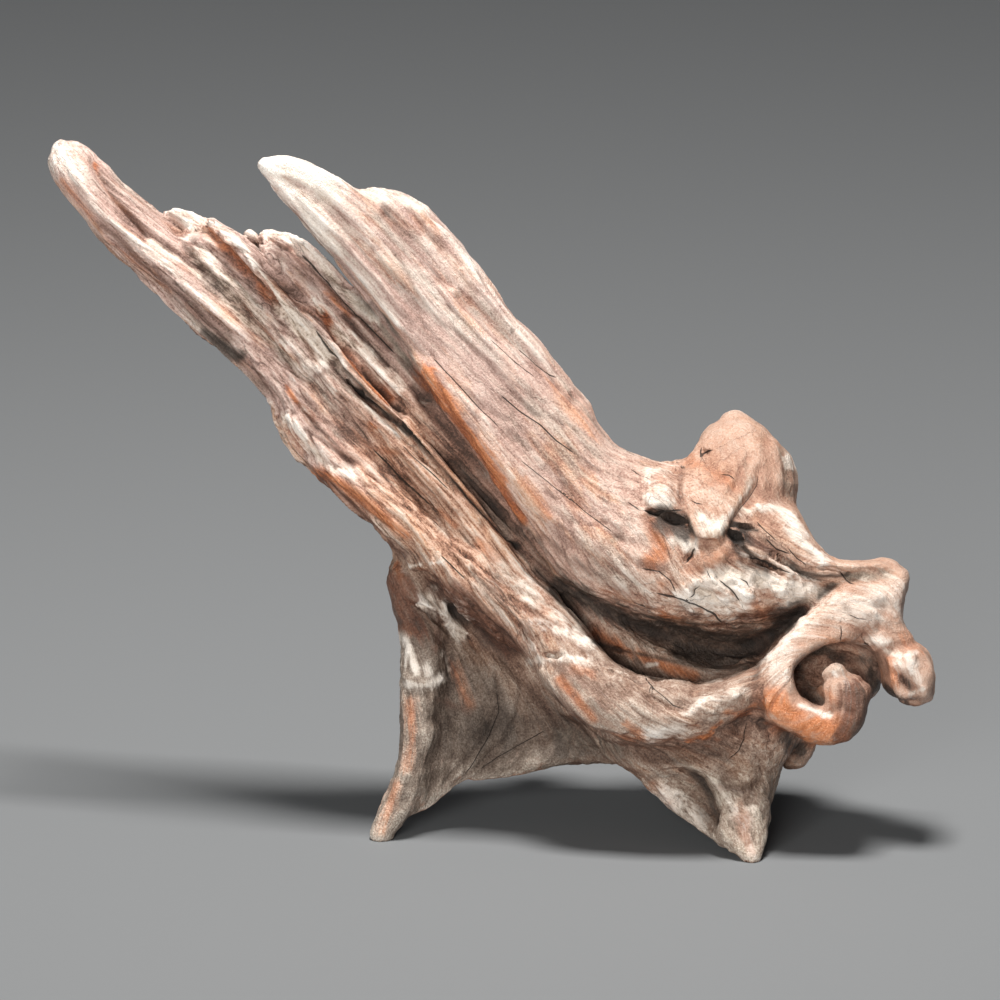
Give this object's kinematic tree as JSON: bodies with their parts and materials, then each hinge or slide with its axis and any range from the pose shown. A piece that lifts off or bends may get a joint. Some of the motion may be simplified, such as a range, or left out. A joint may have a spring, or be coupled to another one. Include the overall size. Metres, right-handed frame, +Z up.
{
  "type": "driftwood sculpture",
  "caption": "Weathered driftwood root that stands on three feet, with two long split limbs swept up to one side, a hollowed burl, a thin fin and a curled root loop.",
  "frame": {"origin": "on the ground, below the middle of the bounding box", "axes": "+X to the right as seen from the front, away from the long limbs; +Y from the front to the back; +Z up"},
  "size_m": [0.354, 0.1294, 0.2686],
  "materials": {
    "burl_wood": "bare weathered wood, worn smooth on the rims and dark in the hollows",
    "blade_wood": "bare weathered wood with fine straight grain and a pale worn edge",
    "limb_wood": "bare weathered wood with split ribs, orange heartwood and pale torn ends",
    "crown_wood": "bare weathered wood, worn smooth",
    "loop_wood": "bare weathered wood, orange where it is worn",
    "fin_wood": "bare dark wood with a rough pitted rim",
    "foot_wood": "bare grey weathered wood",
    "rear_wood": "bare grey weathered wood"
  },
  "bodies": {
    "root": {"burl": "burl_wood", "upper_blade": "blade_wood", "lower_limb": "limb_wood", "crown": "crown_wood", "root_loop": "loop_wood", "left_fin": "fin_wood", "front_foot": "foot_wood", "rear_foot": "rear_wood"}
  },
  "joints": []
}
